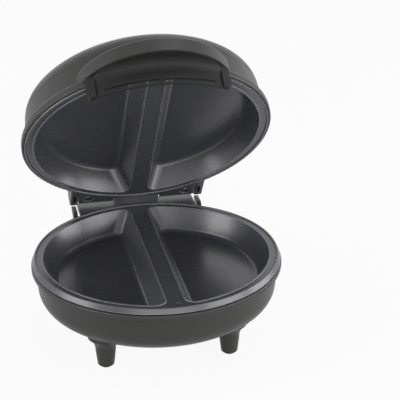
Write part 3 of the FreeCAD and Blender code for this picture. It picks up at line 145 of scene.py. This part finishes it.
# the mask: rubbed wear, and on the release coating also painted highlight
wear_and_highlight_mask = add(wear_and_highlight_edges, "Math", operation="MULTIPLY", use_clamp=True)
join(wear_and_highlight_edges, rub_in, "Edge radius", rounded, "Radius")
join(wear_and_highlight_edges, rounded, "Normal", likeness, 0)
join(wear_and_highlight_edges, true_face, "True Normal", likeness, 1)
join(wear_and_highlight_edges, likeness, "Value", gap, 1)
join(wear_and_highlight_edges, gap, 0, spread, 0)
join(wear_and_highlight_edges, rub_in, "Gain", spread, 1)
join(wear_and_highlight_edges, rub_place, "Object", patchy, "Vector")
join(wear_and_highlight_edges, patchy, 0, fill, 0)
join(wear_and_highlight_edges, rub_in, "Evenness", fill, 1)
join(wear_and_highlight_edges, spread, 0, wear_and_highlight_mask, 0)
join(wear_and_highlight_edges, fill, 0, wear_and_highlight_mask, 1)
join(wear_and_highlight_edges, wear_and_highlight_mask, 0, rub_out, "Mask")
join(wear_and_highlight_edges, rounded, "Normal", rub_out, "Normal")
print("group", wear_and_highlight_edges.name)

# %% [markdown]
# Fingers and steam leave faint films that change how sharply a surface shines. They are
# wide, soft clouds, so the mask is a stretched noise squeezed between two levels.

# %% Kitchen film
film, film_in, film_out = new_group("Kitchen film", {"Clouds per metre": 22.0}, [("Mask", FLOAT)])
film_place = add(film, "TexCoord")
clouds = add(film, "TexNoise", Detail=5.0, Roughness=0.62, Distortion=0.6)
squeeze = add(film, "MapRange", From_Min=0.42, From_Max=0.68)
join(film, film_place, "Object", clouds, "Vector")
join(film, film_in, "Clouds per metre", clouds, "Scale")
join(film, clouds, 0, squeeze, "Value")
join(film, squeeze, 0, film_out, "Mask")
print("group", film.name)

# %% [markdown]
# Drawn and rolled metal carries fine parallel lines. Noise that is squeezed along one axis
# turns into such lines, and its height is small, so it only shows in the highlights.

# %% Rolled metal lines
lines, lines_in, lines_out = new_group(
    "Rolled lines", {"Lines per metre": 3000.0, "Length per metre": 60.0}, [("Height", FLOAT), ("Shade", FLOAT)])
lines_place = add(lines, "TexCoord")
stretch = add(lines, "VectorMath", operation="MULTIPLY")
factors = add(lines, "CombineXYZ")
strokes = add(lines, "TexNoise", Scale=1.0, Detail=2.0)
join(lines, lines_in, "Length per metre", factors, "X")
join(lines, lines_in, "Lines per metre", factors, "Y")
join(lines, lines_in, "Lines per metre", factors, "Z")
join(lines, lines_place, "Object", stretch, 0)
join(lines, factors, 0, stretch, 1)
join(lines, stretch, 0, strokes, "Vector")
join(lines, strokes, 0, lines_out, "Height")
join(lines, strokes, 0, lines_out, "Shade")
print("group", lines.name)

# %% [markdown]
# Every finish below shares one pattern: a colour that drifts between two tones and goes
# lighter along the edges (rubbed wear, and on the release coating also painted highlight),
# a roughness that the film disturbs, and a bump of its own grain on top of the rounded
# edges. The function builds that, and returns the parts that a finish may still want to change.

# %% Common finish


def group_node(tree, group, **inputs):
    made = tree.nodes.new("ShaderNodeGroup")
    made.node_tree = group
    for name, value in inputs.items():
        made.inputs[name.replace("_", " ")].default_value = value
    return made


def colour_of(rgb):
    return (rgb[0], rgb[1], rgb[2], 1.0)


def finish(name, dark, light, wear_and_highlight_tone, rough, grain_size, depth, edge=0.0006, rub_gain=3.0, drift=9.0, shine=0.5):
    """Material whose colour drifts from dark to light, goes to an edge tone (wear, painted highlight on the coating),
    and shines by rough (low, high).
    """
    made = bpy.data.materials.new(name)
    made.use_nodes = True
    tree = made.node_tree
    surface = tree.nodes["Principled BSDF"]
    pebble = group_node(tree, grain, Grain_per_metre=grain_size, Drift_per_metre=drift)
    edges = group_node(tree, wear_and_highlight_edges, Edge_radius=edge, Gain=rub_gain)
    haze = group_node(tree, film)
    tone = add(tree, "Mix", data_type="RGBA")
    tone.inputs["A"].default_value = colour_of(dark)
    tone.inputs["B"].default_value = colour_of(light)
    # edge colour: rubbed wear, and on the release coating also painted highlight
    wear_and_highlight_mix = add(tree, "Mix", data_type="RGBA")
    wear_and_highlight_mix.inputs["B"].default_value = colour_of(wear_and_highlight_tone)
    dulling = add(tree, "MapRange", To_Min=rough[0], To_Max=rough[1])
    bump = add(tree, "Bump", Strength=1.0, Distance=depth)
    join(tree, pebble, "Drift", tone, "Factor")
    tree.links.new(tone.outputs["Result"], wear_and_highlight_mix.inputs["A"])
    join(tree, edges, "Mask", wear_and_highlight_mix, "Factor")
    tree.links.new(wear_and_highlight_mix.outputs["Result"], surface.inputs["Base Color"])
    join(tree, haze, "Mask", dulling, "Value")
    join(tree, dulling, 0, surface, "Roughness")
    surface.inputs["Specular IOR Level"].default_value = shine
    join(tree, pebble, "Height", bump, "Height")
    join(tree, edges, "Normal", bump, "Normal")
    join(tree, bump, 0, surface, "Normal")
    return made, tree, surface, bump, edges


finishes = {}
print("finish pattern ready")

# %% [markdown]
# Both shells are warm charcoal plastic with a satin shine. Polypropylene and nylon are a
# little waxy, so the highlight is wide; a small coat would look painted and is left off.

# %% Shell plastic
finishes["shell_plastic"] = finish(
    "charcoal moulding", (0.031, 0.031, 0.0302), (0.041, 0.041, 0.040), (0.085, 0.0845, 0.083),
    (0.30, 0.38), 1500.0, 0.00002, edge=0.0009, shine=0.3)[0]
print("made", finishes["shell_plastic"].name)

# %% [markdown]
# The inner cover of the grip is the same plastic from a finer mould. Its darker colour is
# painted shade for the recess that light hardly reaches, and no cloth rubs it.

# %% Grip plastic
# darker colours than the shell: painted shade for the recess
finishes["grip_plastic"] = finish(
    "grip cover moulding in painted shade", (0.012, 0.012, 0.0117), (0.018, 0.018, 0.0175), (0.045, 0.045, 0.044),
    (0.42, 0.52), 1500.0, 0.00002, edge=0.0007, shine=0.2)[0]
print("made", finishes["grip_plastic"].name)

# %% [markdown]
# The plates are cast aluminium under a sprayed release coating. It levels out into a faint
# orange peel and is thinnest on the corners, where wiping lets the metal shine through. The
# edge mask is made even here, so the pale edge colour is partly worn metal and partly a painted
# highlight along every rim; the mask also adds a smooth coat that catches the lamps.

# %% Coated casting
# the third colour, a pale grey on every edge, is worn metal and also painted highlight
coated, coat_tree, coat_surface, coat_bump, coat_wear_and_highlight = finish(
    "release coating", (0.046, 0.047, 0.055), (0.056, 0.057, 0.066), (0.34, 0.34, 0.35),
    (0.26, 0.30), 160.0, 0.000006, edge=0.0007, rub_gain=3.2, drift=14.0, shine=0.75)
# an even mask makes the painted highlight run unbroken along the edges
coat_wear_and_highlight.inputs["Evenness"].default_value = 0.8
join(coat_tree, coat_wear_and_highlight, "Mask", coat_surface, "Coat Weight")
coat_surface.inputs["Coat Roughness"].default_value = 0.15
finishes["plate_coating"] = coated
print("made", coated.name)

# %% [markdown]
# Rubber pads pick up pale dust, so their drift is strong and their shine is weak.

# %% Rubber and small plastics
finishes["pad_rubber"] = finish(
    "pad rubber", (0.018, 0.018, 0.018), (0.05, 0.05, 0.048), (0.09, 0.09, 0.085),
    (0.72, 0.86), 1800.0, 0.00006, drift=120.0)[0]
finishes["gland_plastic"] = finish(
    "gland moulding", (0.02, 0.02, 0.02), (0.028, 0.028, 0.028), (0.06, 0.06, 0.06), (0.45, 0.55), 2600.0, 0.00002)[0]
finishes["holder_plastic"] = finish(
    "natural moulding", (0.55, 0.52, 0.45), (0.66, 0.63, 0.55), (0.75, 0.73, 0.66), (0.45, 0.55), 2600.0, 0.00002)[0]
finishes["thermostat_body"] = finish(
    "phenolic moulding", (0.075, 0.035, 0.022), (0.11, 0.055, 0.035), (0.2, 0.12, 0.08), (0.30, 0.42), 1500.0, 0.00002)[0]
finishes["block_ceramic"] = finish(
    "terminal ceramic", (0.70, 0.67, 0.60), (0.82, 0.80, 0.74), (0.88, 0.86, 0.80), (0.55, 0.72), 2200.0, 0.00005)[0]
print("made", len(finishes), "finishes")

# %% [markdown]
# Metal pieces swap the pebbled grain for rolled lines and turn fully metallic. Heat tints
# the ring element brown in patches, so its two tones lie far apart.

# %% Metals


def metal_finish(name, dark, light, wear_and_highlight_tone, rough, lines_per_metre, depth, drift=30.0):
    made, tree, surface, bump, edges = finish(name, dark, light, wear_and_highlight_tone, rough, 1200.0, depth, edge=0.0003, drift=drift)
    surface.inputs["Metallic"].default_value = 1.0
    rolled = group_node(tree, lines, Lines_per_metre=lines_per_metre)
    join(tree, rolled, "Height", bump, "Height")
    return made


finishes["element_steel"] = metal_finish(
    "heat-tinted sheath", (0.16, 0.12, 0.09), (0.36, 0.33, 0.30), (0.5, 0.48, 0.45), (0.34, 0.52), 1500.0, 0.00002, 60.0)
finishes["clip_steel"] = metal_finish(
    "stamped strip", (0.48, 0.48, 0.47), (0.60, 0.60, 0.59), (0.75, 0.75, 0.74), (0.26, 0.38), 2500.0, 0.00001)
finishes["screw_steel"] = metal_finish(
    "zinc-plated steel", (0.50, 0.50, 0.52), (0.62, 0.63, 0.66), (0.78, 0.78, 0.80), (0.20, 0.34), 1800.0, 0.00001)
finishes["shield_sheet"] = metal_finish(
    "mill sheet", (0.62, 0.62, 0.63), (0.74, 0.74, 0.75), (0.84, 0.84, 0.85), (0.30, 0.42), 3200.0, 0.00002)
finishes["terminal_brass"] = metal_finish(
    "plain brass", (0.55, 0.38, 0.14), (0.70, 0.52, 0.24), (0.82, 0.66, 0.36), (0.26, 0.38), 1800.0, 0.00001)
print("made", len(finishes), "finishes")

# %% [markdown]
# Leads and the fuse wear a woven glass sleeve. Two crossed waves, one turned a quarter, give
# threads that pass over and under each other; their product is the height of the weave.

# %% Woven sleeve


def woven_finish(name, dark, light):
    made, tree, surface, bump, edges = finish(name, dark, light, light, (0.70, 0.85), 900.0, 0.0001)
    place = add(tree, "TexCoord")
    warp = add(tree, "TexWave", Scale=420.0, bands_direction="X")
    weft = add(tree, "TexWave", Scale=420.0, bands_direction="Y")
    weave = add(tree, "Math", operation="MULTIPLY")
    for thread in (warp, weft):
        join(tree, place, "Object", thread, "Vector")
    join(tree, warp, "Fac", weave, 0)
    join(tree, weft, "Fac", weave, 1)
    join(tree, weave, 0, bump, "Height")
    return made


finishes["lead_sleeve"] = woven_finish("lead sleeve", (0.62, 0.58, 0.50), (0.74, 0.71, 0.64))
finishes["fuse_sleeve"] = woven_finish("fuse sleeve", (0.60, 0.52, 0.40), (0.72, 0.66, 0.55))
print("made", finishes["lead_sleeve"].name)

# %% [markdown]
# The two lenses are clear coloured plastic over small lamps that are off. A share of
# transmission lets light into them, so they glow a little in daylight instead of looking painted.

# %% Lenses and lamps


def lens_finish(name, dark, light, clearness):
    made, tree, surface, bump, edges = finish(name, dark, light, light, (0.10, 0.20), 600.0, 0.00001, rub_gain=1.0)
    surface.inputs["Transmission Weight"].default_value = clearness
    surface.inputs["IOR"].default_value = 1.49
    return made


finishes["power_lens_red"] = lens_finish("red lens", (0.50, 0.012, 0.010), (0.62, 0.02, 0.015), 0.35)
finishes["ready_lens_green"] = lens_finish("green lens", (0.012, 0.30, 0.07), (0.02, 0.40, 0.10), 0.35)
finishes["lamp_glass"] = lens_finish("lamp glass", (0.80, 0.62, 0.55), (0.88, 0.74, 0.66), 0.8)
print("made", len(finishes), "finishes")

# %% [markdown]
# The record says which finish each piece takes, so one loop dresses them all. Replacing the
# material in a piece's own slots leaves its mesh alone.

# %% Dress the pieces
for row in frame["record"]["subparts"]:
    piece = frame["nodes"][row["node"]]
    piece.data.materials.clear()
    piece.data.materials.append(finishes[row["material_slot"]])

# %% [markdown]
# The table is a wide pale sheet. Seen directly it should be as white as the backdrop, but
# it must still catch the shadow of the legs, so the camera gets a blend of a plain diffuse
# sheet and its own white.

# %% Table


def seen_rays(tree, straight=1.0, mirrored=1.0):
    """One level for rays that meet the eye straight, another for rays mirrored or sent through glass."""
    path = add(tree, "LightPath")
    direct = add(tree, "Math", operation="MULTIPLY")
    direct.inputs[1].default_value = straight
    bounced = add(tree, "Math", operation="MAXIMUM")
    weaker = add(tree, "Math", operation="MULTIPLY")
    weaker.inputs[1].default_value = mirrored
    either = add(tree, "Math", operation="MAXIMUM")
    join(tree, path, "Is Camera Ray", direct, 0)
    join(tree, path, "Is Glossy Ray", bounced, 0)
    join(tree, path, "Is Transmission Ray", bounced, 1)
    join(tree, bounced, 0, weaker, 0)
    join(tree, direct, 0, either, 0)
    join(tree, weaker, 0, either, 1)
    return either


TABLE_HALF = 3.0
sheet = bpy.data.meshes.new("table")
sheet.from_pydata([(-TABLE_HALF, -TABLE_HALF, 0), (TABLE_HALF, -TABLE_HALF, 0),
                   (TABLE_HALF, TABLE_HALF, 0), (-TABLE_HALF, TABLE_HALF, 0)], [], [(0, 1, 2, 3)])
table = bpy.data.objects.new("table", sheet)
bpy.context.scene.collection.objects.link(table)
paper = bpy.data.materials.new("pale paper")
paper.use_nodes = True
paper_tree = paper.node_tree
paper_surface = paper_tree.nodes["Principled BSDF"]
paper_surface.inputs["Roughness"].default_value = 0.9
paper_surface.inputs["Base Color"].default_value = (0.72, 0.72, 0.72, 1.0)
paper_white = add(paper_tree, "Emission", Color=(1.0, 1.0, 1.0, 1.0), Strength=1.0)
paper_mix = add(paper_tree, "MixShader")
join(paper_tree, seen_rays(paper_tree, straight=0.92, mirrored=0.45), 0, paper_mix, 0)
join(paper_tree, paper_surface, 0, paper_mix, 1)
join(paper_tree, paper_white, 0, paper_mix, 2)
join(paper_tree, paper_mix, 0, paper_tree.nodes["Material Output"], "Surface")
sheet.materials.append(paper)
print("table", 2 * TABLE_HALF, "m wide")

# %% [markdown]
# The backdrop is the world itself: white to the camera, a calm grey to everything that it
# lights, so the dark plastic keeps its depth.

# %% Backdrop
WORLD_LEVEL = 0.5
world = bpy.data.worlds.new("studio")
bpy.context.scene.world = world
world.use_nodes = True
world_tree = world.node_tree
backdrop = world_tree.nodes["Background"]
level_mix = add(world_tree, "MapRange", To_Min=WORLD_LEVEL, To_Max=1.0)
backdrop.inputs["Color"].default_value = (1.0, 1.0, 1.0, 1.0)
join(world_tree, seen_rays(world_tree), 0, level_mix, "Value")
join(world_tree, level_mix, 0, backdrop, "Strength")
print("world level", WORLD_LEVEL)

# %% [markdown]
# Three soft boxes stand where the picture's highlights ask for them: a tall one at the left,
# a wide one overhead and behind, and a weaker one at the right that draws the long shine
# along the shell.

# %% Lamps


def soft_box(name, place, target, width, height, power):
    light = bpy.data.lights.new(name, "AREA")
    light.shape = "RECTANGLE"
    light.size = width
    light.size_y = height
    light.energy = power
    lamp = bpy.data.objects.new(name, light)
    lamp.location = place
    lamp.rotation_euler = (Vector(place) - Vector(target)).to_track_quat("Z", "Y").to_euler()
    bpy.context.scene.collection.objects.link(lamp)
    return lamp


MIDDLE = (0.0, 0.0, 0.12)
soft_box("left box", (-1.43, -0.2, 0.54), MIDDLE, 0.8, 0.8, 9.0)
soft_box("top box", (0.5, 0.1, 1.6), MIDDLE, 1.2, 0.8, 3.5)
soft_box("right box", (1.5, 0.05, 0.3), MIDDLE, 0.8, 0.6, 6.5)
soft_box("front box", (1.05, -0.85, 0.35), MIDDLE, 0.9, 0.7, 7.0)
soft_box("low fill", (-0.1, -1.6, 0.4), MIDDLE, 1.6, 0.8, 8.0)
print("three soft boxes")
